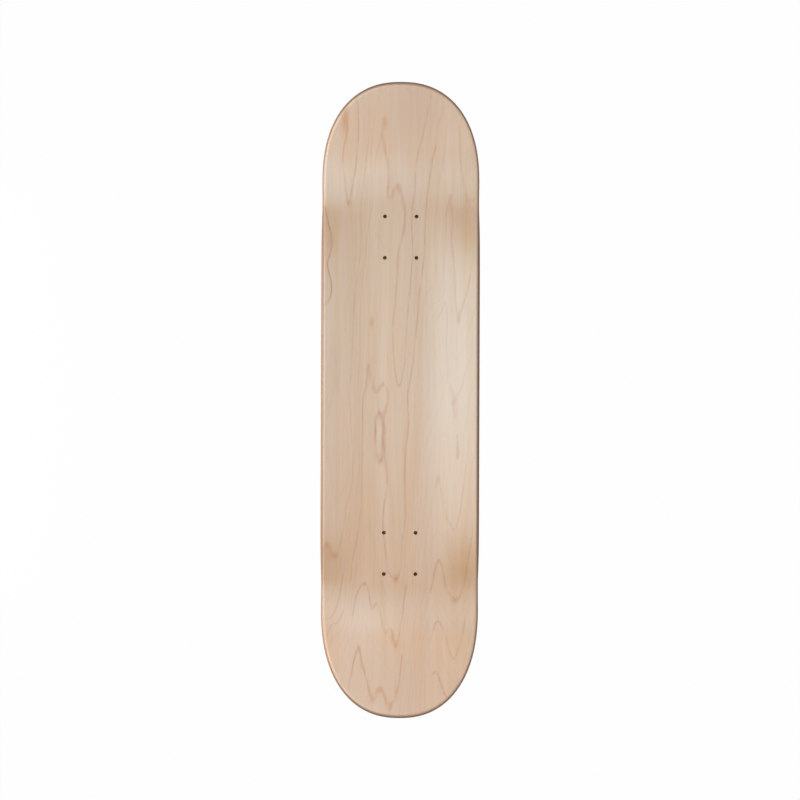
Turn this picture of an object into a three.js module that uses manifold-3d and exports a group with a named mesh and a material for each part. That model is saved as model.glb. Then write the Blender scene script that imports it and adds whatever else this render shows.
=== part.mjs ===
// A skateboard deck: seven maple veneers glued into one sheet and pressed, with a flat
// pocket down the middle, rails that curve up on both sides of it and both ends kicked
// up. The deck has a long outline with rounded ends, a rounded edge and eight holes for
// the bolts of two trucks. Millimetres, +Z up, +Y towards the nose. The origin is on the
// flat underside, midway between the trucks.

import * as THREE from "three";
import { mergeVertices, toCreasedNormals } from "three/addons/utils/BufferGeometryUtils.js";
import Module from "manifold-3d";

const wasm = await Module();
wasm.setup();

// Truck bolt holes. The wheelbase is the distance between the two inner rows.
const WHEELBASE = 358.775;
const BOLT_ROW_SPACING = 53.975;
const BOLT_COLUMN_SPACING = 41.275;
const BOLT_HOLE_DIAMETER = 5;
const CUT_OVERRUN = 2;

// Outline, before pressing. Nose and tail run from the outer bolts to the tip, and their
// rounding is the stretch over which they narrow.
const DECK_WIDTH = 205;
const NOSE_LENGTH = 179.4;
const TAIL_LENGTH = 168;
const NOSE_ROUNDING = 140;
const TAIL_ROUNDING = 128;
const OUTLINE_EXPONENT = 2.3; // 2 is an ellipse, and more is squarer
const EDGE_ROUND_RADIUS = 4.8;

// Kicks. Each starts this far beyond the outer bolts.
const KICK_OFFSET = 16;
const KICK_BEND_RADIUS = 180;
const NOSE_KICK_DEGREES = 21;
const TAIL_KICK_DEGREES = 22;

// Concave: how far the rails rise above the flat pocket, between the trucks and in the
// kicks. It starts to change this far inside the inner bolts, and fades fastest this far
// before the kick.
const POCKET_WIDTH = 54;
const BODY_RAIL_RISE = 13;
const KICK_RAIL_RISE = 2.5;
const CONCAVE_FADE_INSET = 40;
const FASTEST_FADE_INSET = 13;

// Layer thicknesses
const FACE_PLY_THICKNESS = 1.4;
const LONG_PLY_THICKNESS = 1.55;
const CROSS_PLY_THICKNESS = 1.5;
const GLUE_LINE_THICKNESS = 0.08;
const LAYER_CLEARANCE = 0.01; // between one layer and the next

// Mesh detail, as counts
const POCKET_COLUMNS = 4;
const RAIL_COLUMNS = 3;
const FADE_ROWS = 5;
const ROUNDING_ROWS = 6;
const FACE_EDGE_RINGS = 2;
const PLAIN_EDGE_RINGS = 1;
const HOLE_SIDES = 8;
const CREASE_DEGREES = 40;

const faceMaple = () => new THREE.MeshStandardMaterial({ color: 0xd9c1a9, roughness: 0.45, metalness: 0 });
const longMaple = () => new THREE.MeshStandardMaterial({ color: 0xcfae8c, roughness: 0.6, metalness: 0 });
const crossMaple = () => new THREE.MeshStandardMaterial({ color: 0xa98462, roughness: 0.75, metalness: 0 });
const driedGlue = () => new THREE.MeshStandardMaterial({ color: 0x8c6a48, roughness: 0.5, metalness: 0 });

// The layers from the underside up: name, thickness, material and rings along the edge.
const LAYERS = [
  ["bottom_face_ply", FACE_PLY_THICKNESS, faceMaple, FACE_EDGE_RINGS],
  ["glue_line_1", GLUE_LINE_THICKNESS, driedGlue, PLAIN_EDGE_RINGS],
  ["lower_long_ply", LONG_PLY_THICKNESS, longMaple, PLAIN_EDGE_RINGS],
  ["glue_line_2", GLUE_LINE_THICKNESS, driedGlue, PLAIN_EDGE_RINGS],
  ["lower_cross_ply", CROSS_PLY_THICKNESS, crossMaple, PLAIN_EDGE_RINGS],
  ["glue_line_3", GLUE_LINE_THICKNESS, driedGlue, PLAIN_EDGE_RINGS],
  ["centre_ply", LONG_PLY_THICKNESS, longMaple, PLAIN_EDGE_RINGS],
  ["glue_line_4", GLUE_LINE_THICKNESS, driedGlue, PLAIN_EDGE_RINGS],
  ["upper_cross_ply", CROSS_PLY_THICKNESS, crossMaple, PLAIN_EDGE_RINGS],
  ["glue_line_5", GLUE_LINE_THICKNESS, driedGlue, PLAIN_EDGE_RINGS],
  ["upper_long_ply", LONG_PLY_THICKNESS, longMaple, PLAIN_EDGE_RINGS],
  ["glue_line_6", GLUE_LINE_THICKNESS, driedGlue, PLAIN_EDGE_RINGS],
  ["top_face_ply", FACE_PLY_THICKNESS, faceMaple, FACE_EDGE_RINGS],
];

// Sizes that follow from the ones above
const DECK_THICKNESS =
  LAYERS.reduce((sum, [, thickness]) => sum + thickness, 0) + (LAYERS.length - 1) * LAYER_CLEARANCE;
const HALF_THICKNESS = DECK_THICKNESS / 2;
const HALF_WIDTH = DECK_WIDTH / 2;
const HALF_POCKET = POCKET_WIDTH / 2;
const RAIL_WIDTH = HALF_WIDTH - HALF_POCKET;
const INNER_BOLTS = WHEELBASE / 2;
const OUTER_BOLTS = INNER_BOLTS + BOLT_ROW_SPACING;
const FADE_START = INNER_BOLTS - CONCAVE_FADE_INSET;
const BEND_START = OUTER_BOLTS + KICK_OFFSET;
const EDGE_RADIUS = Math.min(EDGE_ROUND_RADIUS, HALF_THICKNESS);

const NOSE = deckEnd(1, NOSE_LENGTH, NOSE_ROUNDING, NOSE_KICK_DEGREES);
const TAIL = deckEnd(-1, TAIL_LENGTH, TAIL_ROUNDING, TAIL_KICK_DEGREES);

// One end of the deck. Its distances run along the surface from the origin.
function deckEnd(side, length, rounding, kickDegrees) {
  const tip = OUTER_BOLTS + length;
  const kick = THREE.MathUtils.degToRad(kickDegrees);
  return { side, kick, rounding, roundingStart: tip - rounding };
}

// The middle of the deck at a signed distance along it: its place in the Y-Z plane, its
// slope and its curvature. A kick is an arc that runs on as a straight.
function centreline(along) {
  const end = along < 0 ? TAIL : NOSE;
  const bent = Math.max(0, Math.abs(along) - BEND_START);
  const angle = Math.min(bent / KICK_BEND_RADIUS, end.kick);
  const straight = bent - angle * KICK_BEND_RADIUS;
  const level = Math.abs(along) - bent;
  const reach = level + KICK_BEND_RADIUS * Math.sin(angle) + straight * Math.cos(angle);
  const rise = KICK_BEND_RADIUS * (1 - Math.cos(angle)) + straight * Math.sin(angle);
  return {
    place: new THREE.Vector3(0, end.side * reach, rise + HALF_THICKNESS),
    tangent: new THREE.Vector3(0, Math.cos(angle), end.side * Math.sin(angle)),
    up: new THREE.Vector3(0, -end.side * Math.sin(angle), Math.cos(angle)),
    curvature: bent > 0 && straight === 0 ? 1 / KICK_BEND_RADIUS : 0,
  };
}

// The rails' rise at a distance along the deck, and how fast it changes there. The pace of
// the drop grows with the cube of the distance, and levels off just before the kick.
function railRise(along) {
  const fade = BEND_START - FADE_START;
  const fastest = 1 - FASTEST_FADE_INSET / fade;
  const whole = fastest / 4 + (1 - fastest) / 2;
  const share = THREE.MathUtils.clamp((Math.abs(along) - FADE_START) / fade, 0, 1);
  const slowing = share > fastest;
  const pace = slowing ? (1 - share) / (1 - fastest) : (share / fastest) ** 3;
  const dropped = slowing ? whole - (pace * (1 - share)) / 2 : (pace * share) / 4;
  const drop = (BODY_RAIL_RISE - KICK_RAIL_RISE) / whole;
  return {
    rise: BODY_RAIL_RISE - drop * dropped,
    change: (-Math.sign(along) * drop * pace) / fade,
  };
}

// A point of the pressed deck from its place in the flat blank: the distance across and
// along, and the height above the middle of the thickness, square to the surface.
function pressed(across, along, height) {
  const { place, tangent, up, curvature } = centreline(along);
  const { rise, change } = railRise(along);
  const share = Math.max(0, Math.abs(across) - HALF_POCKET) / RAIL_WIDTH;
  const lift = rise * share ** 2;
  const slopeAcross = (Math.sign(across) * 2 * rise * share) / RAIL_WIDTH;
  const slopeAlong = (change * share ** 2) / (1 - curvature * lift);
  const normal = up.clone().addScaledVector(tangent, -slopeAlong);
  normal.x -= slopeAcross;
  normal.normalize();
  const point = place.clone().addScaledVector(up, lift).addScaledVector(normal, height);
  point.x += across;
  return point;
}

// The grid that every face of a layer follows in the flat blank. Columns run from rail to
// rail, and rows from tail to nose. A row lies across the body, or bends round an end.
const spread = (from, to, count) =>
  Array.from({ length: count }, (_, k) => THREE.MathUtils.lerp(from, to, k / count));

const pocketShare = HALF_POCKET / HALF_WIDTH;
const columnShares = [
  ...spread(-1, -pocketShare, RAIL_COLUMNS),
  ...spread(-pocketShare, pocketShare, POCKET_COLUMNS),
  ...spread(pocketShare, 1, RAIL_COLUMNS),
  1,
];

// One end's rows from the tip inwards, up to where the concave starts to change. They
// lie closer together towards the kick, where it changes most.
function endRows(end) {
  const roundShares = spread(1, 0, ROUNDING_ROWS);
  const fadeShares = [...spread(1, 0, FADE_ROWS), 0].map(Math.sqrt);
  const fadePlaces = fadeShares.map((share) => THREE.MathUtils.lerp(FADE_START, BEND_START, share));
  const straight = [end.roundingStart, ...fadePlaces.filter((place) => place < end.roundingStart)];
  return [
    ...roundShares.map((roundShare) => ({ end, roundShare, along: end.side * end.roundingStart })),
    ...straight.map((place) => ({ end, roundShare: 0, along: end.side * place })),
  ];
}

const rows = [...endRows(TAIL), ...endRows(NOSE).reverse()];

// A grid point in the flat blank, and the way out from the outline there. In a rounded
// end the square grid is mapped onto a half disc, which is then drawn out to the outline.
function gridPoint(column, row) {
  const u = columnShares[column];
  const { end, roundShare: v, along } = rows[row];
  const disc = new THREE.Vector2(u * Math.sqrt(1 - v ** 2 / 2), v * Math.sqrt(1 - u ** 2 / 2));
  const norm = (Math.abs(disc.x) ** OUTLINE_EXPONENT + disc.y ** OUTLINE_EXPONENT) ** (1 / OUTLINE_EXPONENT);
  disc.multiplyScalar(norm > 0 ? disc.length() / norm : 1);
  const out = new THREE.Vector2(
    (Math.sign(u) * Math.abs(disc.x) ** (OUTLINE_EXPONENT - 1)) / HALF_WIDTH,
    (end.side * disc.y ** (OUTLINE_EXPONENT - 1)) / end.rounding,
  );
  return {
    flat: new THREE.Vector2(disc.x * HALF_WIDTH, along + end.side * disc.y * end.rounding),
    out: out.normalize(),
  };
}

// How far the rounded edge draws the outline in at a height from the middle.
function edgeInset(height) {
  const over = Math.max(0, Math.abs(height) - (HALF_THICKNESS - EDGE_RADIUS));
  return EDGE_RADIUS - Math.sqrt(Math.max(0, EDGE_RADIUS ** 2 - over ** 2));
}

// The heights of a layer's edge rings, crowded towards the deck's nearer face, where the
// rounded edge is flattest.
function ringHeights(bottom, top, rings) {
  const upperHalf = bottom + top > 0;
  return Array.from({ length: rings + 1 }, (_, k) => {
    const share = upperHalf ? 1 - (1 - k / rings) ** 2 : (k / rings) ** 2;
    return THREE.MathUtils.lerp(bottom, top, share);
  });
}

// A closed solid of three.js geometry as manifold-3d holds it.
function solidOf(geometry) {
  const bare = geometry.clone();
  bare.deleteAttribute("normal");
  bare.deleteAttribute("uv");
  const merged = mergeVertices(bare);
  return new wasm.Manifold(
    new wasm.Mesh({
      numProp: 3,
      vertProperties: merged.attributes.position.array,
      triVerts: new Uint32Array(merged.index.array),
    }),
  );
}

function geometryOf(solid) {
  const mesh = solid.getMesh();
  const geometry = new THREE.BufferGeometry();
  geometry.setAttribute("position", new THREE.BufferAttribute(mesh.vertProperties, mesh.numProp));
  geometry.setIndex(new THREE.BufferAttribute(mesh.triVerts, 1));
  return toCreasedNormals(geometry, THREE.MathUtils.degToRad(CREASE_DEGREES));
}

// A box's top and bottom cells are split along opposite diagonals. This turns the bottom
// ones round, so that two layers meet along the same triangles.
function alignDiagonals(box) {
  const { start, count } = box.groups.at(-1);
  for (let first = start; first < start + count; first += 6) {
    const [a, b, d, , c] = box.index.array.slice(first, first + 6);
    box.index.array.set([a, b, c, a, c, d], first);
  }
}

// A layer between two heights: a box with one cell per grid cell, pressed to shape.
function layerSolid(bottom, top, rings) {
  const columnCount = columnShares.length - 1;
  const rowCount = rows.length - 1;
  const heights = ringHeights(bottom, top, rings);
  const box = new THREE.BoxGeometry(columnCount, rowCount, rings, columnCount, rowCount, rings);
  alignDiagonals(box);
  const positions = box.attributes.position;
  for (let k = 0; k < positions.count; k++) {
    const column = Math.round(positions.getX(k) + columnCount / 2);
    const row = Math.round(positions.getY(k) + rowCount / 2);
    const height = heights[Math.round(positions.getZ(k) + rings / 2)];
    const { flat, out } = gridPoint(column, row);
    const onOutline = column % columnCount === 0 || row % rowCount === 0;
    if (onOutline) flat.addScaledVector(out, -edgeInset(height));
    positions.setXYZ(k, ...pressed(flat.x, flat.y, height));
  }
  return solidOf(box);
}

// The eight bolt holes, as one cutter that is taller than the deck with its rails.
function boltHoles() {
  const length = DECK_THICKNESS + BODY_RAIL_RISE + 2 * CUT_OVERRUN;
  const radius = BOLT_HOLE_DIAMETER / 2;
  const holes = [];
  for (const across of [-BOLT_COLUMN_SPACING / 2, BOLT_COLUMN_SPACING / 2])
    for (const along of [-OUTER_BOLTS, -INNER_BOLTS, INNER_BOLTS, OUTER_BOLTS]) {
      const drill = new THREE.CylinderGeometry(radius, radius, length, HOLE_SIDES);
      drill.rotateX(Math.PI / 2);
      drill.translate(across, along, length / 2 - CUT_OVERRUN);
      holes.push(solidOf(drill));
    }
  return holes.reduce((joined, hole) => joined.add(hole));
}

const deck = new THREE.Group();
deck.name = "skateboard_deck";
const holes = boltHoles();
let bottom = -HALF_THICKNESS;
for (const [name, thickness, material, rings] of LAYERS) {
  const top = bottom + thickness;
  const ply = new THREE.Mesh(geometryOf(layerSolid(bottom, top, rings).subtract(holes)), material());
  ply.name = name;
  deck.add(ply);
  bottom = top + LAYER_CLEARANCE;
}

export default deck;
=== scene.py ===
import math
from types import SimpleNamespace

import bpy
import numpy as np
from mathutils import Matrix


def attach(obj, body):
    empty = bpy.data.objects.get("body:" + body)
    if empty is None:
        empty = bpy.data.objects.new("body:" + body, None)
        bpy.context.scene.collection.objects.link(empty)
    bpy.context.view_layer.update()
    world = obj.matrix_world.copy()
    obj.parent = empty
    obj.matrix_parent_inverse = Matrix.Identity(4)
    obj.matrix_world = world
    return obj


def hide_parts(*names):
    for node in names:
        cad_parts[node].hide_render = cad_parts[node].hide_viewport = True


# A skateboard deck of clear lacquered maple, seen from straight above. Every layer of the
# plywood is a fine closed mesh that takes the place of its plain solid: seven veneers and
# the six glue lines between them. Metres, +Z up, +Y towards the nose.

MM = 0.001

# Truck bolt holes
WHEELBASE = 358.775 * MM
BOLT_ROW_SPACING = 53.975 * MM
BOLT_COLUMN_SPACING = 41.275 * MM
BOLT_HOLE_DIAMETER = 5 * MM

# Outline, before pressing
DECK_WIDTH = 205 * MM
NOSE_LENGTH = 179.4 * MM
TAIL_LENGTH = 168 * MM
NOSE_ROUNDING = 140 * MM
TAIL_ROUNDING = 128 * MM
OUTLINE_EXPONENT = 2.3
EDGE_ROUND_RADIUS = 4.8 * MM

# Kicks and concave
KICK_OFFSET = 16 * MM
KICK_BEND_RADIUS = 180 * MM
NOSE_KICK = math.radians(21)
TAIL_KICK = math.radians(22)
POCKET_WIDTH = 54 * MM
BODY_RAIL_RISE = 13 * MM
KICK_RAIL_RISE = 2.5 * MM
CONCAVE_FADE_INSET = 40 * MM
FASTEST_FADE_INSET = 13 * MM

# Layers
FACE_PLY_THICKNESS = 1.4 * MM
LONG_PLY_THICKNESS = 1.55 * MM
CROSS_PLY_THICKNESS = 1.5 * MM
GLUE_LINE_THICKNESS = 0.08 * MM
LAYER_CLEARANCE = 0.01 * MM

# Mesh detail
FACE_CELL = 2.05 * MM
INNER_CELL = 5 * MM
HOLE_BLOCK_CELLS = 8
HOLE_RINGS = 4
FACE_EDGE_RINGS = 7
PLY_EDGE_RINGS = 3
GLUE_EDGE_RINGS = 1
FIRST_CORNER_DEGREES = 225  # where the ring round a bolt hole starts
INSET_SPREAD_POWER = 6
OUTLINE_SPREAD = 0.999  # only points on the outline have more
CREASE = math.radians(40)

# The camera, over the middle of the deck and looking straight down at it
PICTURE_SIZE = 800
LENS = 35.8
SENSOR_WIDTH = 36
CAMERA_HEIGHT = 1049.5 * MM
CAMERA_ACROSS = 0.2 * MM
CAMERA_ALONG = 6.15 * MM
CAMERA_ROLL = math.radians(0.19)

# Colours
TAIL_WOOD = 0.582, 0.424, 0.31, 1
NOSE_WOOD = 0.618, 0.422, 0.294, 1
WARM_TINT = 0.985, 0.95, 0.87, 1
LINE_BROWN = 0.40, 0.205, 0.12, 1
LINE_ORANGE = 0.50, 0.19, 0.09, 1
SOFT_BROWN = 0.53, 0.31, 0.20, 1
# Warm stains, and the same colour as painted shade on the rails near the kicks
STAIN_AND_SHADE_ORANGE = 0.50, 0.25, 0.12, 1
# Paler colour: partly paler wood, partly painted sheen
PALE_AND_SHEEN_COLOUR = 0.62, 0.495, 0.405, 1
# Painted shade, in a darker tan
TAN_SHADE_COLOUR = 0.42, 0.25, 0.075, 1
# Duller, darker colour, partly painted shade
DULL_AND_SHADE_COLOUR = 0.40, 0.255, 0.185, 1
FLECK_BROWN = 0.43, 0.30, 0.21, 1
# Darker worked edges of the face veneers: partly lacquer stain, partly painted shade
EDGE_STAIN_AND_SHADE = 0.345, 0.195, 0.12, 1
END_BROWN = 0.30, 0.155, 0.09, 1
GLOSS_TINT = 0.62, 0.92, 1, 1

# The stage. Each soft light has its place, its size across and along, and its brightness.
FLOOR_SIZE = 8
FLOOR_GAP = 0.3 * MM
FLOOR_COLOUR = 0.28, 0.28, 0.28, 1
UNDER_COLOUR = 0.42, 0.24, 0.12, 1
FLOOR_WHITE = 0.985
ROOM_COLOUR = 0.1, 0.1, 0.1, 1
SOFT_BOXES = (
    ("overhead", (0.65, -0.07, 2.1), (1.05, 1.12), 8.4),
    ("side", (2.1, 0, 0.3), (0.5, 1.6), 4),
    ("low", (0.6, 0, 0.012), (0.02, 0.5), 170),
    ("fill", (-1.1, -0.07, 2.1), (1.8, 1.2), 2.9),
)

HALF_WIDTH = DECK_WIDTH / 2
HALF_POCKET = POCKET_WIDTH / 2
RAIL_WIDTH = HALF_WIDTH - HALF_POCKET
INNER_BOLTS = WHEELBASE / 2
OUTER_BOLTS = INNER_BOLTS + BOLT_ROW_SPACING
FADE_START = INNER_BOLTS - CONCAVE_FADE_INSET
BEND_START = OUTER_BOLTS + KICK_OFFSET
HOLE_ACROSS = BOLT_COLUMN_SPACING / 2
HOLE_BLOCK = HALF_POCKET - HOLE_ACROSS

# Growth lines of the top veneer, as they cross the picture, in its pixels. Each has its
# level, from the heart of the figure outwards, its strength and its points.
GROWTH_LINES = (
    (5, 0.58, ((345.9, 109), (347.2, 131), (343.4, 149), (342.7, 165), (344.6, 179), (346.2, 193),
               (349.1, 205.4), (351, 194), (353.6, 182), (356.1, 165), (358, 143), (358.7, 124),
               (358.4, 105))),
    (5, 0.85, ((325.5, 209), (328.7, 225), (331.3, 234), (331.6, 246), (330, 255), (327.4, 263),
               (328.7, 272), (331.3, 282), (331.3, 292), (328.7, 301), (325.5, 304))),
    (4, 0.28, ((369.5, 105), (369, 136), (362.5, 194), (361, 213), (361.2, 237), (360, 259),
               (356.8, 282), (354.2, 305), (352.9, 333), (352.3, 359), (350.4, 380), (349.7, 399),
               (351, 413), (351, 425), (352.3, 444), (352.9, 463), (352.3, 482), (349.7, 495),
               (345.9, 508), (344, 527), (341.5, 539), (338.9, 550), (335.7, 556.7), (331.3, 552),
               (328.7, 545.8), (326, 544.5), (323.6, 550))),
    (3, 0.2, ((358.7, 380), (360, 339), (360.6, 308), (362.5, 277), (366.3, 244), (373, 200),
              (375.3, 162), (377.8, 149), (381.6, 136.5))),
    (3, 0.45, ((381.6, 136.5), (382.3, 131), (384.2, 118.7), (384.2, 147), (387.4, 161),
               (388.9, 170), (388.9, 182), (387.4, 194), (389.3, 199.7), (394.4, 190),
               (398, 184.4), (400.1, 189), (402.7, 200), (404.8, 213), (404.8, 223), (402, 239),
               (398.9, 251), (397.6, 263), (397.2, 274), (396.3, 288), (394.4, 308), (393.1, 320),
               (392.9, 339), (393.8, 359), (395, 371), (398.2, 386), (402, 380), (404.6, 365),
               (405.9, 339), (408.4, 308), (410.3, 288), (411.6, 269), (412.9, 251), (412.2, 237),
               (412.2, 218), (412.9, 205), (415.4, 188), (415.4, 175), (416.7, 162), (419.3, 149),
               (423.1, 134), (426.3, 117), (429.5, 105), (431.4, 94))),
    (2, 0.37, ((351, 580), (352.3, 561), (355.5, 546), (358, 533), (361.2, 508), (361.9, 488),
               (361.9, 469), (362.5, 444), (362.5, 418))),
    (2, 0.5, ((362.5, 418), (363.1, 399), (365.7, 388), (367, 371), (368.2, 366.2), (370.2, 376),
              (373.3, 388), (375.9, 392.1), (379.1, 390), (381.6, 386), (383.5, 383.8),
              (385.5, 386), (387.4, 391.5), (388, 399), (386.7, 405.5), (384.8, 413),
              (383.5, 418), (383.9, 428.5), (383.5, 437), (382.9, 449), (383.5, 455),
              (384.8, 459), (386.7, 469), (387, 482), (385.7, 495), (383.5, 508), (382.9, 518),
              (382.9, 527), (384.2, 539), (386.1, 559), (387.4, 571), (389.3, 573.4),
              (396.3, 579.1), (400.8, 568), (401.4, 559), (402.7, 539), (404, 527), (405.6, 514),
              (405.6, 502), (404.8, 488), (404.8, 477), (405.2, 463), (406.5, 444), (408.4, 425),
              (407.8, 405), (407.8, 393), (410.3, 380), (413.5, 359), (415.4, 339), (417.3, 320),
              (419.3, 295), (421.8, 276), (423.7, 262), (425, 231), (426.3, 212), (427.6, 193),
              (430.1, 177), (432, 162), (435.8, 147))),
    (2, 0.8, ((379.1, 412.5), (377.2, 415), (375.3, 423), (375, 437), (375.9, 451), (377.2, 459),
              (379.7, 461.6), (382.3, 459), (382.9, 449), (383.9, 428.5), (382.9, 419.5),
              (381, 414.4), (379.1, 412.5))),
    (1, 0.37, ((446, 231), (446.7, 218), (448, 205.5), (450.8, 195.3), (452, 212), (451.8, 231),
               (453, 256.5), (455, 282), (455.4, 301), (457.5, 315), (458.5, 321.6), (461, 313),
               (463.3, 304), (467.1, 292), (469.6, 279.5), (471.6, 267))),
    (1, 0.12, ((446, 231), (440, 300), (430, 380), (412, 520), (407, 575))),
    (1, 0.5, ((352.9, 615), (354.8, 602), (357.4, 593), (361.2, 586), (365.1, 583.6),
              (367.6, 588), (369.5, 599.5), (371.4, 609), (375.3, 604.6), (377.2, 604),
              (379.1, 610), (381.6, 620), (383.5, 629), (386.1, 632.7), (389.3, 629),
              (391.2, 628.9), (393.1, 636.5), (395.7, 645.5), (398.2, 639), (400.1, 631),
              (401.4, 621), (403.3, 608.5), (404.6, 596), (406.5, 585.5))),
    (0, 0.28, ((437.8, 318), (439.7, 315), (442.9, 308), (444.1, 302.4), (446, 308), (446.7, 327),
               (446.7, 352), (447.3, 371), (448, 382.6), (450.5, 388), (453, 394), (455, 397.9),
               (459.4, 393), (462.6, 385), (466, 370))),
    (0, 0.4, ((455, 398), (452.4, 405.5), (454.3, 417), (458.2, 405.5), (455, 398))),
    (0, 0.65, ((457.9, 436), (457.3, 447), (457.9, 459), (458.5, 447), (457.9, 436))),
    (0, 0.15, ((437.8, 318), (435, 350), (425, 450), (415, 560), (408, 620), (402, 656))),
    (0, 0.65, ((348.5, 688), (351, 677), (352.9, 665), (356.1, 653), (358.7, 646.1), (359.9, 654),
               (362.5, 666), (365.7, 677), (368.2, 688), (370.2, 695), (372.7, 700.3),
               (375.3, 698), (377.2, 691), (379.7, 688.2), (382.3, 691), (384.8, 698), (388, 707),
               (389.9, 710.5), (391.8, 704), (395, 698), (396.9, 691), (399.5, 681), (400.8, 668),
               (402, 656))),
    (-1, 0.33, ((435.8, 486), (438, 476.9), (440.3, 485), (440.9, 492), (442.9, 502),
                (444.8, 513), (446.7, 519), (450.5, 525), (454.6, 531.1), (457.5, 523),
                (460.1, 513), (462.6, 495), (464.5, 479.5), (465.8, 467))),
    (-2, 0.55, ((431, 590.5), (433.9, 576), (435.8, 567.5), (439.3, 559.8), (441.6, 566),
                (444.1, 579), (446, 588), (449.2, 594), (455, 599.5), (458.2, 599), (461.4, 593),
                (464.5, 583), (466.5, 570), (469.6, 550), (471.6, 539))),
    (-3, 0.48, ((433.9, 629.5), (434.6, 625), (437.8, 621.2), (441.6, 626), (445.4, 636.5),
                (448, 647), (451.1, 656), (453.7, 659.5), (456.9, 653), (460.1, 644),
                (463.3, 631), (465.8, 617))),
    (-4, 0.8, ((432.7, 674), (435.8, 672.2), (438.4, 677), (440.9, 684), (444.1, 693),
               (446, 696.5))),
    (3, 0.35, ((343, 575), (341.5, 585), (338.5, 600), (336.5, 607), (334, 613), (332, 616.5),
               (329, 619), (326.5, 618))),
    (2.5, 0.35, ((343.5, 611), (342, 615), (339.5, 620.5), (335.7, 623.8), (332, 624.5),
                 (330, 628), (327.3, 635))),
    (2, 0.22, ((435.8, 147), (436.5, 135), (438.6, 122.8), (442.6, 113.6), (443.2, 106.7))),
    (1.5, 0.2, ((446.7, 128.6), (445.5, 143.5), (443.2, 161.8), (440.9, 173.3), (438.1, 192.8),
                (436.9, 207.8), (434, 242))),
    (1.5, 0.3, ((459.3, 127.4), (459.9, 158.4), (462.7, 179), (465, 190.6), (466.8, 202),
                (469.9, 200.5), (474.2, 199.7))),
)

# Places without a line that keep the growth rings in order between the lines
RING_GUIDES = (
    (5.3, (349.2, 190)), (4.7, (349.2, 215)), (4.7, (349, 240)), (4.6, (337, 130)),
    (4.6, (336, 170)), (4.6, (337, 205)), (4.6, (338, 245)), (4.6, (338, 285)), (4.6, (330, 330)),
    (4.5, (330, 400)), (4.5, (330, 470)), (5.4, (323, 240)), (5.4, (324, 285)), (3.4, (380, 100)),
    (0.5, (450.5, 345)), (0.75, (449.2, 216)), (1.3, (458, 250)), (-0.4, (452, 440)),
    (-0.4, (463, 440)),
)

# Warm stains along the figure, and last three broad patches of painted shade on the rails near the
# kicks, in the picture's pixels: place, half width, half length and strength
STAINS_AND_SHADE = (
    (345, 120, 3.4, 13, 0.85), (385, 123, 2.2, 6, 0.62), (398, 188, 2.2, 4, 0.5),
    (349.5, 203, 1.8, 5, 0.55), (397.5, 264, 1.5, 10, 0.45), (331, 242, 2, 9, 0.5),
    (450, 205, 1.5, 8, 0.5), (371.7, 322, 1.6, 6, 0.75), (368, 368, 1.3, 5, 0.35),
    (379.7, 461, 2.6, 3, 0.35), (383.6, 449, 1.4, 10, 0.6), (335, 556, 3, 3.5, 0.6),
    (327, 545, 2, 3.5, 0.65), (396, 579, 2.6, 4, 0.65), (392.5, 638, 1.8, 6, 0.65),
    (396, 645, 2.2, 4.5, 0.85), (455, 600, 3.4, 3, 0.8), (371, 698, 3, 5, 0.25),
    (361, 661, 1.5, 8, 0.35), (380, 690, 3, 3.5, 0.85), (386, 700, 1.6, 5, 0.65),
    (390, 706, 2, 4, 0.75), (396, 693, 1.8, 8, 0.6), (458.5, 319, 1.6, 6, 0.7),
    (404.8, 480, 1.2, 45, 0.38), (407, 125, 5, 40, 0.08), (328, 553, 5, 9, 0.35),
    (461, 568, 11, 26, 0.25), (463, 222, 11, 20, 0.17),
)

# Paler colour, in the same way: partly paler wood and partly painted sheen on the rails and kicks
PALE_AND_SHEEN_PATCHES = (
    (452, 142, 13, 36, 0.3), (330, 158, 8, 24, 0.5), (358, 628, 19, 36, 0.4),
    (330, 598, 10, 12, 0.2), (337, 196, 14, 14, 0.3), (329, 395, 9, 130, 0.25),
    (430, 420, 13, 120, 0.28), (466, 400, 16, 75, 0.25), (400, 195, 40, 80, 0.13),
    (428, 545, 14, 40, 0.2), (379.5, 437, 2.4, 17, 0.5),
)

# Painted shade in a darker tan on the rails near the kicks, in the same way
TAN_SHADE_PATCHES = (
    (468, 243, 12, 20, 0.26), (463, 560, 15, 32, 0.24), (468, 640, 13, 34, 0.14),
    (329, 236, 9, 26, 0.14), (335, 560, 14, 22, 0.13), (454, 688, 9, 12, 0.2),
)

# Duller, darker colour towards the ends, and painted shade on the rails near the kicks, in the same
# way
DULL_AND_SHADE_PATCHES = (
    (412, 100, 65, 55, 0.34), (400, 690, 65, 60, 0.3), (466, 655, 12, 24, 0.12),
    (330, 630, 9, 16, 0.16),
)

RING_STRETCH = np.array([1, 3.5])  # the figure is drawn out along the grain
RING_SMOOTHING = 0.5
RINGS_PER_LEVEL = 2
LEAST_SQUARE = 1e-12  # keeps its logarithm finite
LEAST_RING_SLOPE = 0.03
RING_STEP = 0.25
MARK_REACH = 2.4
LEAST_MARK = 0.1
UNDERSIDE_STRETCH = 1.12

# Noise in the face veneers, as the size of its grains across, along and through. 1 m
# through keeps it the same through the thickness.
BROAD_GRAIN = 13 * MM, 350 * MM, 1
STREAK_GRAIN = 1.8 * MM, 120 * MM, 1
FIBRE_GRAIN = 0.4 * MM, 12 * MM, 1
FLECK_GRAIN = 0.28 * MM, 2.6 * MM, 1
RAGGED_GRAIN = 1.4 * MM, 5 * MM, 1
PATCHY_GRAIN = 4 * MM, 26 * MM, 1
WARMTH_GRAIN = 7 * MM, 22 * MM, 1
SOFT_BANDS = ((10 * MM, 200 * MM, 0.9), (4 * MM, 110 * MM, 0.5))  # across, along, strength

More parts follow.
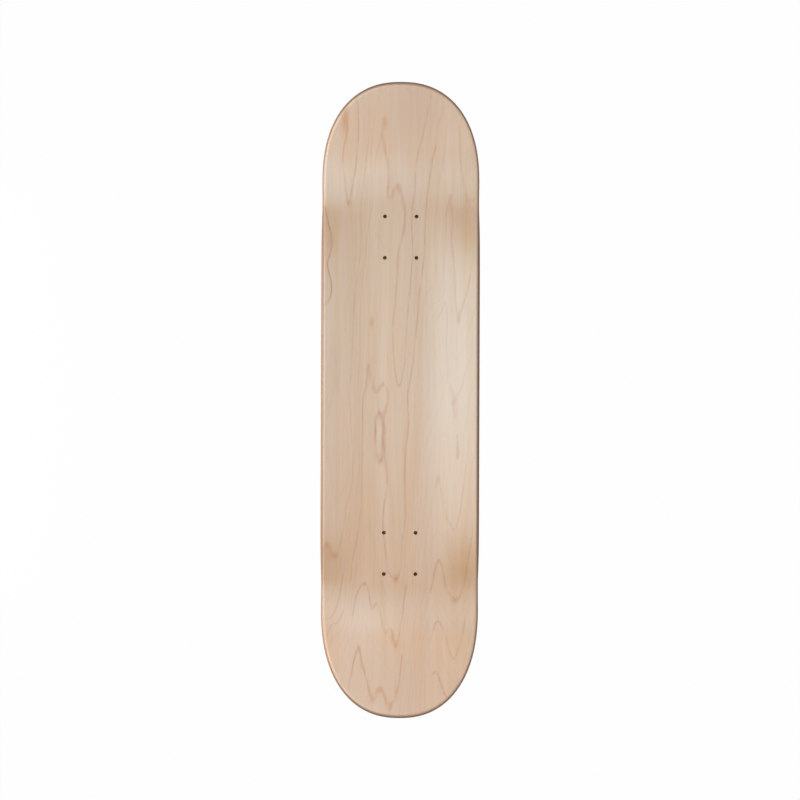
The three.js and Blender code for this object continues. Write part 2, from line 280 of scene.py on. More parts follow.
# The values between which noise, or a value stored on the mesh, fades in
BAND_FADE = 0.4, 0.62
PATCHY_FADE = 0.3, 0.62
WARMTH_FADE = 0.38, 0.6
FLECK_FADE = 0.66, 0.78
GLOSS_FADE = 0.2, 0.8
SPECK_FADE = 0.3, 0.7
WORKED_END = 0.1, 0.6
EDGE_STAIN_AND_SHADE_FADE = 0.4, 0.7

# How far noise darkens and lightens the wood
BROAD_SHADE = 0.94, 1.06
STREAK_SHADE = 0.9, 1.1
FIBRE_SHADE = 0.9, 1.1

# Growth lines. The core and the soft band beside it are given by their distances from the
# line, in the picture's pixels: where the core is full and where it ends, and where the band
# starts and ends.
LINE_WANDER = 0.12  # of the way from one ring to the next
LINE_CORE = 0.15, 1.3
SOFT_START = -0.6
SOFT_END = 4.5
PATCHY_SHARE = 0.3, 1.2  # how faint and how strong a line gets along its course

# Shares of colour, roughness, and depth and strength of bump
CORE_SHARE = 0.82
SOFT_SHARE = 0.48
FLECK_SHARE = 0.3
END_SHARE = 0.45
FACE_ROUGHNESS = 0.28, 0.36
FACE_BUMP_DEPTH = 0.02 * MM
FIBRE_BUMP = 0.15
LINE_BUMP = 0.2

# The sanded edges of the inner veneers, coloured darker than plain maple, partly as painted
# shade along the edge. Their end grain is darker.
EDGE_SPECULAR = 0.1
LONG_EDGE = SimpleNamespace(
    grain=(0.25 * MM, 9 * MM, 0.22 * MM),
    dark=(0.205, 0.118, 0.073, 1), light=(0.35, 0.212, 0.14, 1),
    end=(0.135, 0.074, 0.045, 1), end_share=0.5,
    roughness=0.42, bump_depth=0.04 * MM, bump=0.4,
)
CROSS_EDGE = SimpleNamespace(
    grain=(9 * MM, 0.25 * MM, 0.22 * MM),
    dark=(0.16, 0.09, 0.055, 1), light=(0.285, 0.168, 0.107, 1),
    end=(0.107, 0.058, 0.035, 1), end_share=0.6,
    roughness=0.45, bump_depth=0.05 * MM, bump=0.5,
)

# Glue
GLUE_GRAIN = 1.5 * MM, 1.5 * MM, 1.5 * MM
GLUE_DARK = 0.09, 0.05, 0.028, 1
GLUE_LIGHT = 0.15, 0.085, 0.045, 1
GLUE_ROUGHNESS = 0.4, 0.55


def deck_end(side, length, rounding, kick):
    """One end of the deck, with the distance from the origin where its rounding starts."""
    start = OUTER_BOLTS + length - rounding
    return SimpleNamespace(side=side, kick=kick, rounding=rounding, start=start)


NOSE = deck_end(1, NOSE_LENGTH, NOSE_ROUNDING, NOSE_KICK)
TAIL = deck_end(-1, TAIL_LENGTH, TAIL_ROUNDING, TAIL_KICK)


def deck_layers():
    """The layers from the underside up, with their heights from the middle of the thickness."""
    face = ("face_maple", FACE_PLY_THICKNESS, FACE_EDGE_RINGS)
    long = ("long_maple", LONG_PLY_THICKNESS, PLY_EDGE_RINGS)
    cross = ("cross_maple", CROSS_PLY_THICKNESS, PLY_EDGE_RINGS)
    glue = ("glue", GLUE_LINE_THICKNESS, GLUE_EDGE_RINGS)
    stack = [
        ("bottom_face_ply", "bottom_veneer", *face),
        ("glue_line_1", "glue_film_1", *glue),
        ("lower_long_ply", "lower_long_veneer", *long),
        ("glue_line_2", "glue_film_2", *glue),
        ("lower_cross_ply", "lower_cross_veneer", *cross),
        ("glue_line_3", "glue_film_3", *glue),
        ("centre_ply", "centre_veneer", *long),
        ("glue_line_4", "glue_film_4", *glue),
        ("upper_cross_ply", "upper_cross_veneer", *cross),
        ("glue_line_5", "glue_film_5", *glue),
        ("upper_long_ply", "upper_long_veneer", *long),
        ("glue_line_6", "glue_film_6", *glue),
        ("top_face_ply", "top_veneer", *face),
    ]
    total = sum(row[3] for row in stack) + (len(stack) - 1) * LAYER_CLEARANCE
    layers = []
    bottom = -total / 2
    for node, piece, slot, thickness, rings in stack:
        top = bottom + thickness
        layers.append(SimpleNamespace(node=node, piece=piece, slot=slot, rings=rings,
                                      bottom=bottom, top=top))
        bottom = top + LAYER_CLEARANCE
    return layers, total / 2


LAYERS, HALF_THICKNESS = deck_layers()
EDGE_RADIUS = min(EDGE_ROUND_RADIUS, HALF_THICKNESS)


def centreline(along):
    """The middle of the deck at signed distances along it: place, tangent, up and curvature."""
    kick = np.where(along < 0, TAIL.kick, NOSE.kick)
    side = np.where(along < 0, TAIL.side, NOSE.side)
    bent = np.maximum(0, abs(along) - BEND_START)
    angle = np.minimum(bent / KICK_BEND_RADIUS, kick)
    straight = bent - angle * KICK_BEND_RADIUS
    reach = abs(along) - bent + KICK_BEND_RADIUS * np.sin(angle) + straight * np.cos(angle)
    rise = KICK_BEND_RADIUS * (1 - np.cos(angle)) + straight * np.sin(angle)
    none = np.zeros_like(along)
    place = np.stack([none, side * reach, rise + HALF_THICKNESS], axis=1)
    tangent = np.stack([none, np.cos(angle), side * np.sin(angle)], axis=1)
    up = np.stack([none, -side * np.sin(angle), np.cos(angle)], axis=1)
    curvature = np.where((bent > 0) & (straight <= 0), 1 / KICK_BEND_RADIUS, 0)
    return place, tangent, up, curvature


def rail_rise(along):
    """How far the rails rise at a distance along the deck, and how fast that changes."""
    fade = BEND_START - FADE_START
    fastest = 1 - FASTEST_FADE_INSET / fade
    whole = fastest / 4 + (1 - fastest) / 2
    share = np.clip((abs(along) - FADE_START) / fade, 0, 1)
    slowing = share > fastest
    pace = np.where(slowing, (1 - share) / (1 - fastest), (share / fastest) ** 3)
    dropped = np.where(slowing, whole - pace * (1 - share) / 2, pace * share / 4)
    drop = (BODY_RAIL_RISE - KICK_RAIL_RISE) / whole
    return BODY_RAIL_RISE - drop * dropped, -np.sign(along) * drop * pace / fade


def pressed(flat, height):
    """Points of the pressed deck from their places in the flat blank and their heights."""
    across, along = flat[:, 0], flat[:, 1]
    place, tangent, up, curvature = centreline(along)
    rise, change = rail_rise(along)
    share = np.maximum(0, abs(across) - HALF_POCKET) / RAIL_WIDTH
    lift = rise * share**2
    slope_across = np.sign(across) * 2 * rise * share / RAIL_WIDTH
    slope_along = change * share**2 / (1 - curvature * lift)
    normal = up - tangent * slope_along[:, None]
    normal[:, 0] -= slope_across
    normal /= np.linalg.norm(normal, axis=1, keepdims=True)
    points = place + up * lift[:, None] + normal * np.broadcast_to(height, across.shape)[:, None]
    points[:, 0] += across
    return points


def edge_inset(height):
    """How far the rounded edge draws the outline in at a height from the middle."""
    over = np.maximum(0, np.abs(height) - (HALF_THICKNESS - EDGE_RADIUS))
    return EDGE_RADIUS - np.sqrt(np.maximum(0, EDGE_RADIUS**2 - over**2))


def stepped(stops, cell, block_cells=()):
    """Values from the first stop to the last in steps of about one cell, or the given count."""
    parts = []
    for k, (start, end) in enumerate(zip(stops, stops[1:])):
        count = HOLE_BLOCK_CELLS if k in block_cells else max(1, round((end - start) / cell))
        parts.append(np.linspace(start, end, count, endpoint=False))
    return np.concatenate([*parts, stops[-1:]])


def grid_points(u, v, side, start, rounding):
    """Places in the flat blank and the way out from the outline there, from square shares."""
    disc_x = u * np.sqrt(1 - v**2 / 2)
    disc_y = v * np.sqrt(1 - u**2 / 2)
    norm = (abs(disc_x) ** OUTLINE_EXPONENT + disc_y**OUTLINE_EXPONENT) ** (1 / OUTLINE_EXPONENT)
    factor = np.hypot(disc_x, disc_y) / np.where(norm > 0, norm, 1)
    disc_x = disc_x * np.where(norm > 0, factor, 1)
    disc_y = disc_y * np.where(norm > 0, factor, 1)
    flat = np.stack([disc_x * HALF_WIDTH, start + side * disc_y * rounding], axis=-1)
    out_x = np.sign(u) * abs(disc_x) ** (OUTLINE_EXPONENT - 1) / HALF_WIDTH
    out_y = side * disc_y ** (OUTLINE_EXPONENT - 1) / rounding
    out = np.stack([out_x, out_y], axis=-1)
    length = np.linalg.norm(out, axis=-1, keepdims=True)
    return flat, out / np.where(length > 0, length, 1)


def blank_grid(cell):
    """The whole square grid of the flat blank: rows from tail to nose, columns across. Every
    second stretch between two stops holds a block of cells round a bolt hole."""
    inner_edge = HOLE_ACROSS - HOLE_BLOCK
    u_stops = [-HALF_WIDTH, -HALF_POCKET, -inner_edge, inner_edge, HALF_POCKET, HALF_WIDTH]
    u = stepped(u_stops, cell, range(1, len(u_stops), 2)) / HALF_WIDTH
    half = [bolts + edge for bolts in (INNER_BOLTS, OUTER_BOLTS)
            for edge in (-HOLE_BLOCK, HOLE_BLOCK)]
    stops = [-TAIL.start, *[-x for x in reversed(half)], *half, NOSE.start]
    body = stepped(stops, cell, range(1, len(stops), 2))
    tail_v = np.linspace(1, 0, round(TAIL.rounding / cell), endpoint=False)
    nose_v = np.linspace(1, 0, round(NOSE.rounding / cell), endpoint=False)[::-1]
    v = np.concatenate([tail_v, 0 * body, nose_v])
    start = np.concatenate([0 * tail_v - TAIL.start, body, 0 * nose_v + NOSE.start])
    side = np.where(start < 0, TAIL.side, NOSE.side)
    rounding = np.where(start < 0, TAIL.rounding, NOSE.rounding)
    columns = u[None, :]
    flat, out = grid_points(columns, v[:, None], side[:, None], start[:, None], rounding[:, None])
    spread = np.maximum(abs(columns), v[:, None]) ** INSET_SPREAD_POWER
    return flat, out, spread


def hole_centres():
    return [(x, y) for x in (-HOLE_ACROSS, HOLE_ACROSS)
            for y in (-OUTER_BOLTS, -INNER_BOLTS, INNER_BOLTS, OUTER_BOLTS)]


def block_corner(flat, centre):
    """Row and column of the lowest corner of the square block of cells round a bolt hole."""
    middle_row, middle_column = flat.shape[0] // 2, flat.shape[1] // 2
    row = np.argmin(abs(flat[:, middle_column, 1] - (centre[1] - HOLE_BLOCK)))
    column = np.argmin(abs(flat[middle_row, :, 0] - (centre[0] - HOLE_BLOCK)))
    return row, column


def ring_round(row, column, count):
    """Grid places round a square block of count cells, counter-clockwise from its corner."""
    side = range(count)
    return [
        *((row, column + k) for k in side),
        *((row + k, column + count) for k in side),
        *((row + count, column + count - k) for k in side),
        *((row + count - k, column) for k in side),
    ]


def walls(lower, upper):
    """Faces from one closed loop to the next, one for each step round them."""
    return np.stack([lower, np.roll(lower, -1), np.roll(upper, -1), upper], axis=1)


def blank_sheet(cell):
    """The flat blank as one sheet of faces, with its outline and the rims of its bolt holes."""
    flat, out, spread = blank_grid(cell)
    rows, columns = spread.shape
    number = np.arange(rows * columns).reshape(rows, columns)
    solid = np.ones((rows - 1, columns - 1), bool)
    places, outs, spreads = [flat.reshape(-1, 2)], [out.reshape(-1, 2)], [spread.ravel()]
    count = rows * columns
    ring_faces, rims = [], []
    for centre in hole_centres():
        row, column = block_corner(flat, centre)
        solid[row:row + HOLE_BLOCK_CELLS, column:column + HOLE_BLOCK_CELLS] = False
        outer = np.array([number[p] for p in ring_round(row, column, HOLE_BLOCK_CELLS)])
        angles = np.radians(FIRST_CORNER_DEGREES + 360 * np.arange(len(outer)) / len(outer))
        round_hole = np.stack([np.cos(angles), np.sin(angles)], axis=1)
        circle = np.array(centre) + BOLT_HOLE_DIAMETER / 2 * round_hole
        square = places[0][outer]
        for ring in range(1, HOLE_RINGS + 1):
            share = ring / HOLE_RINGS
            places.append(square + (circle - square) * share)
            outs.append(np.zeros_like(circle))
            spreads.append(np.zeros(len(circle)))
            inner = count + np.arange(len(circle))
            count += len(circle)
            ring_faces.append(walls(outer, inner))
            outer = inner
        rims.append(outer)
    cells = np.stack([number[:-1, :-1], number[:-1, 1:], number[1:, 1:], number[1:, :-1]], axis=-1)
    faces = np.concatenate([cells[solid], *ring_faces])
    outline = np.concatenate([number[0, :-1], number[:-1, -1], number[-1, :0:-1], number[:0:-1, 0]])
    used = np.unique(faces)
    renumber = np.zeros(count, int)
    renumber[used] = np.arange(len(used))
    return SimpleNamespace(
        flat=np.concatenate(places)[used],
        out=np.concatenate(outs)[used],
        spread=np.concatenate(spreads)[used],
        faces=renumber[faces],
        outline=renumber[outline],
        rims=[renumber[rim] for rim in rims],
    )


def ring_heights(bottom, top, rings):
    """Heights of a layer's edge rings, at even turns of the rounded edge."""
    def turn(height):
        over = max(0, abs(height) - (HALF_THICKNESS - EDGE_RADIUS))
        return math.copysign(math.asin(min(1, over / EDGE_RADIUS)), height)
    if rings == 1 or bottom * top < 0:
        return np.linspace(bottom, top, rings + 1)
    turns = np.linspace(turn(bottom), turn(top), rings + 1)
    heights = np.sign(turns) * (HALF_THICKNESS - EDGE_RADIUS) + EDGE_RADIUS * np.sin(turns)
    heights[0], heights[-1] = bottom, top
    return heights


def layer_shape(layer, sheet):
    """A closed layer of the pressed deck: its points, faces and what its material reads."""
    heights = ring_heights(layer.bottom, layer.top, layer.rings)
    blocks = []

    def block(height, members):
        inset = edge_inset(height) * sheet.spread[members]
        flat = sheet.flat[members] - sheet.out[members] * inset[:, None]
        worked = 1 - edge_inset(height) / EDGE_RADIUS
        edge = np.where(sheet.spread[members] > OUTLINE_SPREAD, worked, 0)
        blocks.append((flat, np.full(len(flat), height), edge, sheet.out[members]))

    everything = np.arange(len(sheet.flat))
    block(layer.top, everything)
    block(layer.bottom, everything)
    for height in heights[1:-1]:
        block(height, sheet.outline)
    flat, height, edge, out = (np.concatenate(parts) for parts in zip(*blocks))
    size, loop = len(everything), len(sheet.outline)
    rings = [sheet.outline + size]
    rings += [2 * size + k * loop + np.arange(loop) for k in range(len(heights) - 2)]
    rings += [sheet.outline]
    faces = [sheet.faces, sheet.faces[:, ::-1] + size]
    faces += [walls(lower, upper) for lower, upper in zip(rings, rings[1:])]
    faces += [walls(rim, rim + size) for rim in sheet.rims]
    return SimpleNamespace(points=pressed(flat, height), faces=np.concatenate(faces),
                           blank=np.column_stack([flat, height]), edge=edge, out=out)


def write_values(mesh, name, values):
    """Stores one value or vector for each vertex of a mesh, for its material."""
    vector = values.ndim == 2
    attribute = mesh.attributes.new(name, "FLOAT_VECTOR" if vector else "FLOAT", "POINT")
    attribute.data.foreach_set("vector" if vector else "value", values.astype(np.float32).ravel())


def picture_place(points):
    """Where points show in the picture, in its pixels, x to the right and y down."""
    offset = points - np.array([CAMERA_ACROSS, CAMERA_ALONG, CAMERA_HEIGHT])
    sine, cosine = math.sin(CAMERA_ROLL), math.cos(CAMERA_ROLL)
    right = -cosine * offset[:, 0] - sine * offset[:, 1]
    down = -sine * offset[:, 0] + cosine * offset[:, 1]
    scale = PICTURE_SIZE * LENS / SENSOR_WIDTH / -offset[:, 2]
    return np.stack([right * scale, down * scale], axis=1) + PICTURE_SIZE / 2


def thin_plate(a, b):
    """The bending of a thin plate between each point of a and each of b."""
    squares = ((a[:, None, :] - b[None, :, :]) ** 2).sum(axis=-1)
    return squares * np.log(np.maximum(squares, LEAST_SQUARE)) / 2


def ring_field():
    """A smooth level over the picture that takes each growth line's level along its points."""
    places = [point for _, _, points in GROWTH_LINES for point in points]
    levels = [level for level, _, points in GROWTH_LINES for _ in points]
    places = np.array(places + [point for _, point in RING_GUIDES], float)
    levels = np.array(levels + [level for level, _ in RING_GUIDES], float)
    places, first = np.unique(places, axis=0, return_index=True)
    levels, knots = levels[first], places / RING_STRETCH
    plane = np.column_stack([np.ones(len(knots)), knots])
    system = np.block([
        [thin_plate(knots, knots) + RING_SMOOTHING * np.eye(len(knots)), plane],
        [plane.T, np.zeros((3, 3))],
    ])
    weights = np.linalg.solve(system, np.concatenate([levels, np.zeros(3)]))

    def level_at(places):
        scaled = places / RING_STRETCH
        bent = thin_plate(scaled, knots) @ weights[:-3]
        return bent + weights[-3] + scaled @ weights[-2:]
    return level_at


def line_mark(places):
    """How strongly a growth ring shows at places in the picture: faint away from the lines."""
    mark = np.full(len(places), LEAST_MARK)
    for _, strength, points in GROWTH_LINES:
        knots = np.array(points, float)
        for start, end in zip(knots, knots[1:]):
            along = end - start
            share = np.clip((places - start) @ along / (along @ along), 0, 1)
            gap = np.linalg.norm(places - start - share[:, None] * along, axis=1)
            mark = np.maximum(mark, strength * np.exp(-((gap / MARK_REACH) ** 2)))
    return mark


def patch_mark(places, patches):
    """How strongly soft patches, of the figure and of painted sheen and shade, show at places in
    the picture.
    """
    clear = np.ones(len(places))
    for x, y, half_width, half_length, strength in patches:
        squares = ((places[:, 0] - x) / half_width) ** 2 + ((places[:, 1] - y) / half_length) ** 2
        clear *= 1 - strength * np.exp(-squares)
    return 1 - clear


def figure(mesh, points, blank):
    """Stores the growth rings and soft patches of a face veneer, partly painted sheen and shade,
    except on its glued face. The underside has the same figure, turned."""
    height = blank[:, 2]
    shown = abs(height) > abs(height).min() + LAYER_CLEARANCE
    seen = points[shown]
    if height.max() < 0:
        seen[:, 1] *= -UNDERSIDE_STRETCH
    places = picture_place(seen)
    level_at = ring_field()
    level = level_at(places)
    right = (level_at(places + [RING_STEP, 0]) - level) / RING_STEP
    down = (level_at(places + [0, RING_STEP]) - level) / RING_STEP
    slope = np.maximum(np.hypot(right, down), LEAST_RING_SLOPE)
    values = {
        "ring": level * RINGS_PER_LEVEL,
        "ring_slope": slope * RINGS_PER_LEVEL,
        "mark": line_mark(places),
        "stain_and_shade": patch_mark(places, STAINS_AND_SHADE),
        "pale_and_sheen": patch_mark(places, PALE_AND_SHEEN_PATCHES),
        "tan_shade": patch_mark(places, TAN_SHADE_PATCHES),
        "dull_and_shade": patch_mark(places, DULL_AND_SHADE_PATCHES),
    }
    for name, found in values.items():
        whole = np.ones(len(points)) * (name == "ring_slope")
        whole[shown] = found
        write_values(mesh, name, whole)


def layer_piece(layer, sheets):
    """The fine mesh of one layer, with what its material reads, in place of its plain solid."""
    fine = layer.slot == "face_maple"
    shape = layer_shape(layer, sheets[fine])
    mesh = bpy.data.meshes.new(layer.piece)
    mesh.from_pydata(shape.points.tolist(), [], shape.faces.tolist())
    mesh.validate()
    write_values(mesh, "blank", shape.blank)
    write_values(mesh, "edge", shape.edge)
    grain = 0 if layer.slot == "cross_maple" else 1
    write_values(mesh, "end_grain", shape.out[:, grain] ** 2)
    if fine:
        figure(mesh, shape.points, shape.blank)
    mesh.shade_smooth()
    mesh.set_sharp_from_angle(angle=CREASE)
    piece = bpy.data.objects.new(layer.piece, mesh)
    bpy.context.scene.collection.objects.link(piece)
    return piece


class Paint:
    """A node material under construction. Each method adds a node and gives its output."""

    def __init__(self, name):
        self.material = bpy.data.materials.new(name)
        self.material.use_nodes = True
        self.tree = self.material.node_tree
        self.surface = self.tree.nodes["Principled BSDF"]

    def put(self, socket, value):
        if isinstance(value, bpy.types.NodeSocket):
            self.tree.links.new(value, socket)
        else:
            socket.default_value = value

    def add(self, kind, inputs=(), output=0, **settings):
        node = self.tree.nodes.new("ShaderNode" + kind)
        for name, value in settings.items():
            setattr(node, name, value)
        for key, value in dict(inputs).items():
            self.put(node.inputs[key], value)
        return node.outputs[output]

    def value(self, name):
        """A value stored on the mesh."""
        return self.add("Attribute", output="Fac", attribute_name=name)

    def vector(self, name):
        """A vector stored on the mesh."""
        return self.add("Attribute", output="Vector", attribute_name=name)

    def math(self, operation, a, b=0.0):
        return self.add("Math", {0: a, 1: b}, operation=operation)

    def noise(self, place, size, detail=2.0, roughness=0.5):
        """Noise from 0 to 1 whose grains have this size across, along and through."""
        scaled = self.add("VectorMath", {0: place, 1: [1 / s for s in size]}, operation="MULTIPLY")
        inputs = {"Vector": scaled, "Scale": 1.0, "Detail": detail, "Roughness": roughness}
        return self.add("TexNoise", inputs)

    def fade(self, value, start, end, low=0.0, high=1.0):
        """A smooth change from low at start to high at end."""
        inputs = {"Value": value, "From Min": start, "From Max": end, "To Min": low, "To Max": high}
        return self.add("MapRange", inputs, interpolation_type="SMOOTHSTEP")

    def mix(self, share, a, b, blend="MIX"):
        """Two colours mixed by a share from 0 to 1."""
        inputs = {0: share, 6: a, 7: b}
        return self.add("Mix", inputs, output=2, data_type="RGBA", blend_type=blend)

    def shade(self, colour, value, low, high):
        """A colour made darker or lighter by a value from 0 to 1."""
        factor = self.add("MapRange", {"Value": value, "To Min": low, "To Max": high})
        return self.add("VectorMath", {0: colour, "Scale": factor}, operation="SCALE")

    def bump(self, height, distance, strength, below=None):
        inputs = {"Height": height, "Distance": distance, "Strength": strength}
        if below is not None:
            inputs["Normal"] = below
        return self.add("Bump", inputs)

    def finish(self, **inputs):
        """Sets the surface's inputs, named with underscores for spaces."""
        for name, value in inputs.items():
            self.put(self.surface.inputs[name.replace("_", " ")], value)
        return self.material


def wood_tone(paint, blank):
    """Maple that gets warmer towards the nose, in soft bands along the grain."""
    along = paint.add("SeparateXYZ", {0: blank}, output=1)
    colour = paint.mix(paint.fade(along, -OUTER_BOLTS, OUTER_BOLTS), TAIL_WOOD, NOSE_WOOD)
    colour = paint.shade(colour, paint.noise(blank, BROAD_GRAIN, detail=1), *BROAD_SHADE)
    for width, length, share in SOFT_BANDS:
        bands = paint.noise(blank, (width, length, 1), detail=2)
        colour = paint.mix(paint.fade(bands, *BAND_FADE, 0, share), colour, WARM_TINT, "MULTIPLY")
    return colour


def growth_line(paint, blank):
    """The share of growth line, and of the soft band on one side of it, at a place."""
    ragged = paint.noise(blank, RAGGED_GRAIN, detail=3)
    wander = paint.math("MULTIPLY", paint.math("SUBTRACT", ragged, 0.5), LINE_WANDER)
    ring = paint.math("ADD", paint.value("ring"), wander)
    gap = paint.math("SUBTRACT", ring, paint.math("ROUND", ring))
    gap = paint.math("DIVIDE", gap, paint.value("ring_slope"))
    core = paint.fade(paint.math("ABSOLUTE", gap), *LINE_CORE, 1, 0)
    leaving = paint.fade(gap, 0, SOFT_END, 1, 0)
    beside = paint.math("MULTIPLY", leaving, paint.fade(gap, SOFT_START, 0))
    patchy = paint.fade(paint.noise(blank, PATCHY_GRAIN, detail=2), *PATCHY_FADE, *PATCHY_SHARE)
    mark = paint.math("MULTIPLY", paint.value("mark"), patchy)
    return paint.math("MULTIPLY", core, mark), paint.math("MULTIPLY", beside, mark)


def face_colour(paint, blank, fibres, core, beside):
    """The wood's tone, then its patches, partly painted sheen and shade, growth lines, stains and
    flecks, then worked edges darkened partly as painted shade.
    """
    colour = wood_tone(paint, blank)
    streaks = paint.noise(blank, STREAK_GRAIN, detail=3, roughness=0.6)
    colour = paint.shade(colour, streaks, *STREAK_SHADE)
    colour = paint.shade(colour, fibres, *FIBRE_SHADE)
    # Patches: paler colour, partly painted sheen; darker tan, painted shade; duller, darker colour,
    # partly painted shade
    for name, patch_colour in (("pale_and_sheen", PALE_AND_SHEEN_COLOUR), ("tan_shade", TAN_SHADE_COLOUR), ("dull_and_shade", DULL_AND_SHADE_COLOUR)):
        colour = paint.mix(paint.value(name), colour, patch_colour)
    colour = paint.mix(paint.math("MULTIPLY", beside, SOFT_SHARE), colour, SOFT_BROWN)
    warmth = paint.fade(paint.noise(blank, WARMTH_GRAIN, detail=1), *WARMTH_FADE)
    line = paint.mix(warmth, LINE_BROWN, LINE_ORANGE)
    colour = paint.mix(paint.math("MULTIPLY", core, CORE_SHARE), colour, line)
    # Warm stains, and broad painted shade on the rails near the kicks
    colour = paint.mix(paint.value("stain_and_shade"), colour, STAIN_AND_SHADE_ORANGE)
    flecks = paint.noise(blank, FLECK_GRAIN, detail=1)
    colour = paint.mix(paint.fade(flecks, *FLECK_FADE, 0, FLECK_SHARE), colour, FLECK_BROWN)
    edge = paint.value("edge")
    end = paint.math("MULTIPLY", paint.fade(edge, *WORKED_END), paint.value("end_grain"))
    colour = paint.mix(paint.math("MULTIPLY", end, END_SHARE), colour, END_BROWN)
    # The worked edge darkened, partly stain and partly painted shade
    return paint.mix(paint.fade(edge, *EDGE_STAIN_AND_SHADE_FADE), colour, EDGE_STAIN_AND_SHADE)


def face_maple():
    """Clear lacquered maple: fine long grain, pinkish growth lines and darker worked edges, partly
    painted shade.
    """
    paint = Paint("face_maple")
    blank = paint.vector("blank")
    fibres = paint.noise(blank, FIBRE_GRAIN, detail=3, roughness=0.7)
    core, beside = growth_line(paint, blank)
    colour = face_colour(paint, blank, fibres, core, beside)
    rough = paint.fade(fibres, *GLOSS_FADE, *FACE_ROUGHNESS)
    bump = paint.bump(fibres, FACE_BUMP_DEPTH, FIBRE_BUMP)
    bump = paint.bump(core, FACE_BUMP_DEPTH, LINE_BUMP, below=bump)
    return paint.finish(Base_Color=colour, Roughness=rough, Normal=bump, Specular_Tint=GLOSS_TINT)


def veneer_edge(name, look):
    """The sanded edge of an inner veneer, darker where it shows end grain; its colours are
    partly painted shade.
    """
    paint = Paint(name)
    fibres = paint.noise(paint.vector("blank"), look.grain, detail=3, roughness=0.65)
    colour = paint.mix(fibres, look.dark, look.light)
    end = paint.math("MULTIPLY", paint.value("end_grain"), look.end_share)
    colour = paint.mix(end, colour, look.end)
    bump = paint.bump(fibres, look.bump_depth, look.bump)
    return paint.finish(Base_Color=colour, Roughness=look.roughness, Normal=bump,
                        Specular_IOR_Level=EDGE_SPECULAR)


def glue():
    """Dried amber glue between the veneers."""
    paint = Paint("glue")
    specks = paint.noise(paint.vector("blank"), GLUE_GRAIN, detail=3)
    colour = paint.mix(specks, GLUE_DARK, GLUE_LIGHT)
    rough = paint.fade(specks, *SPECK_FADE, *GLUE_ROUGHNESS)
    return paint.finish(Base_Color=colour, Roughness=rough)


def dress_deck():
    """Puts a fine piece with its material in the place of every plain layer."""
    sheets = {True: blank_sheet(FACE_CELL), False: blank_sheet(INNER_CELL)}
    materials = {
        "face_maple": face_maple(),
        "long_maple": veneer_edge("long_maple", LONG_EDGE),
        "cross_maple": veneer_edge("cross_maple", CROSS_EDGE),
        "glue": glue(),
    }
    for layer in LAYERS:
        piece = layer_piece(layer, sheets)
        piece.data.materials.append(materials[layer.slot])
        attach(piece, "root")
        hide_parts(layer.node)


def make_camera():
    """A camera over the deck with the picture's top towards the tail."""
    data = bpy.data.cameras.new("camera")
    data.lens, data.sensor_width = LENS, SENSOR_WIDTH
    camera = bpy.data.objects.new("camera", data)
    camera.location = CAMERA_ACROSS, CAMERA_ALONG, CAMERA_HEIGHT
    camera.rotation_euler = 0, 0, math.pi + CAMERA_ROLL
    bpy.context.scene.collection.objects.link(camera)
    bpy.context.scene.camera = camera


def background_rays(tree):
    """1 for a ray that shows the background: seen directly, in gloss or through glass."""
    path = tree.nodes.new("ShaderNodeLightPath")
    share = path.outputs["Is Camera Ray"]
    for kind in ("Is Glossy Ray", "Is Transmission Ray"):
        either = tree.nodes.new("ShaderNodeMath")
        either.operation = "MAXIMUM"
        tree.links.new(share, either.inputs[0])
        tree.links.new(path.outputs[kind], either.inputs[1])
        share = either.outputs[0]
    return share


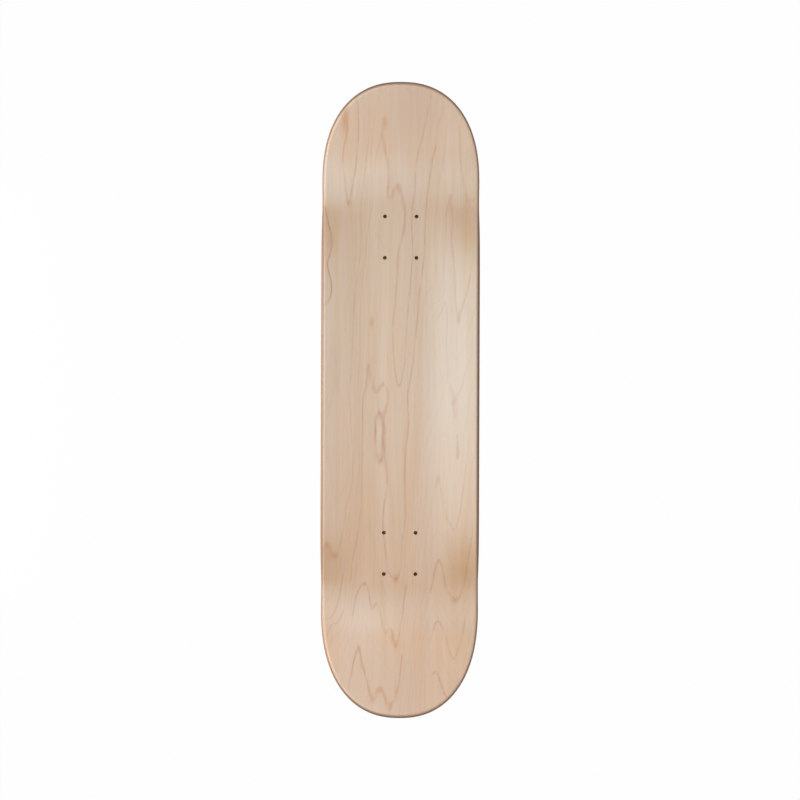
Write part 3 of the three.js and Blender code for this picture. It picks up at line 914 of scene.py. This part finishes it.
def make_floor():
    """A grey floor that the deck lies on. It shows white with a trace of shadow, apart from
    the strip under the flat belly, which the bolt holes open onto."""
    mesh = bpy.data.meshes.new("floor")
    half = FLOOR_SIZE / 2
    corners = [(-half, -half, 0), (half, -half, 0), (half, half, 0), (-half, half, 0)]
    mesh.from_pydata(corners, [], [(0, 1, 2, 3)])
    floor = bpy.data.objects.new("floor", mesh)
    floor.location.z = -FLOOR_GAP
    bpy.context.scene.collection.objects.link(floor)
    paint = Paint("floor")
    place = paint.add("TexCoord", output="Object")
    belly = [1 / HALF_POCKET, 1 / BEND_START, 0]
    scaled = paint.add("VectorMath", {0: place, 1: belly}, operation="MULTIPLY")
    away = [paint.math("ABSOLUTE", paint.add("SeparateXYZ", {0: scaled}, output=k)) for k in (0, 1)]
    beyond = paint.math("MAXIMUM", *away)
    covered = paint.math("LESS_THAN", beyond, 1)
    white = paint.math("MULTIPLY", background_rays(paint.tree), paint.math("SUBTRACT", 1, covered))
    colour = paint.mix(covered, FLOOR_COLOUR, UNDER_COLOUR)
    plain = paint.add("BsdfDiffuse", {"Color": colour})
    glow = paint.add("Emission", {"Color": (1, 1, 1, 1), "Strength": 1})
    white = paint.math("MULTIPLY", white, FLOOR_WHITE)
    mixed = paint.add("MixShader", {0: white, 1: plain, 2: glow})
    paint.put(paint.tree.nodes["Material Output"].inputs["Surface"], mixed)
    mesh.materials.append(paint.material)


def soft_box(name, place, size, brightness):
    """A rectangular soft light at a place that faces the deck. Its size is across and along."""
    data = bpy.data.lights.new(name, "AREA")
    data.shape = "RECTANGLE"
    data.size, data.size_y = size
    data.energy = brightness * math.pi * data.size * data.size_y
    light = bpy.data.objects.new(name, data)
    light.location = place
    light.rotation_euler = 0, math.atan2(place[0], place[2]), 0
    bpy.context.scene.collection.objects.link(light)


def make_lights():
    """A soft light above, a little to the deck's left in the picture, whose sheen lies on the
    far rail and across the kicks, a weaker one on either side, a low strip that lights the
    left edge alone, and a dim room that shows white."""
    for name, place, size, brightness in SOFT_BOXES:
        soft_box(name, place, size, brightness)
    world = bpy.data.worlds.new("room")
    world.use_nodes = True
    tree = world.node_tree
    room = tree.nodes["Background"]
    room.inputs["Color"].default_value = ROOM_COLOUR
    white = tree.nodes.new("ShaderNodeBackground")
    mixed = tree.nodes.new("ShaderNodeMixShader")
    tree.links.new(background_rays(tree), mixed.inputs[0])
    tree.links.new(room.outputs[0], mixed.inputs[1])
    tree.links.new(white.outputs[0], mixed.inputs[2])
    tree.links.new(mixed.outputs[0], tree.nodes["World Output"].inputs["Surface"])
    white.inputs["Color"].default_value = 1, 1, 1, 1
    bpy.context.scene.world = world


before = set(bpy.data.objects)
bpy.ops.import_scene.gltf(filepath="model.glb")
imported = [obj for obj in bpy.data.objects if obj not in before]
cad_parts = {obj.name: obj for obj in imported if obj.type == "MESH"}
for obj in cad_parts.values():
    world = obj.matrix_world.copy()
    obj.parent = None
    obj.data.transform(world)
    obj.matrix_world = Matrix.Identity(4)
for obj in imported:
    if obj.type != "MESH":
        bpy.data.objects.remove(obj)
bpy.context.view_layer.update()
make_camera()
dress_deck()
make_floor()
make_lights()
bpy.context.scene.view_settings.view_transform = "Standard"
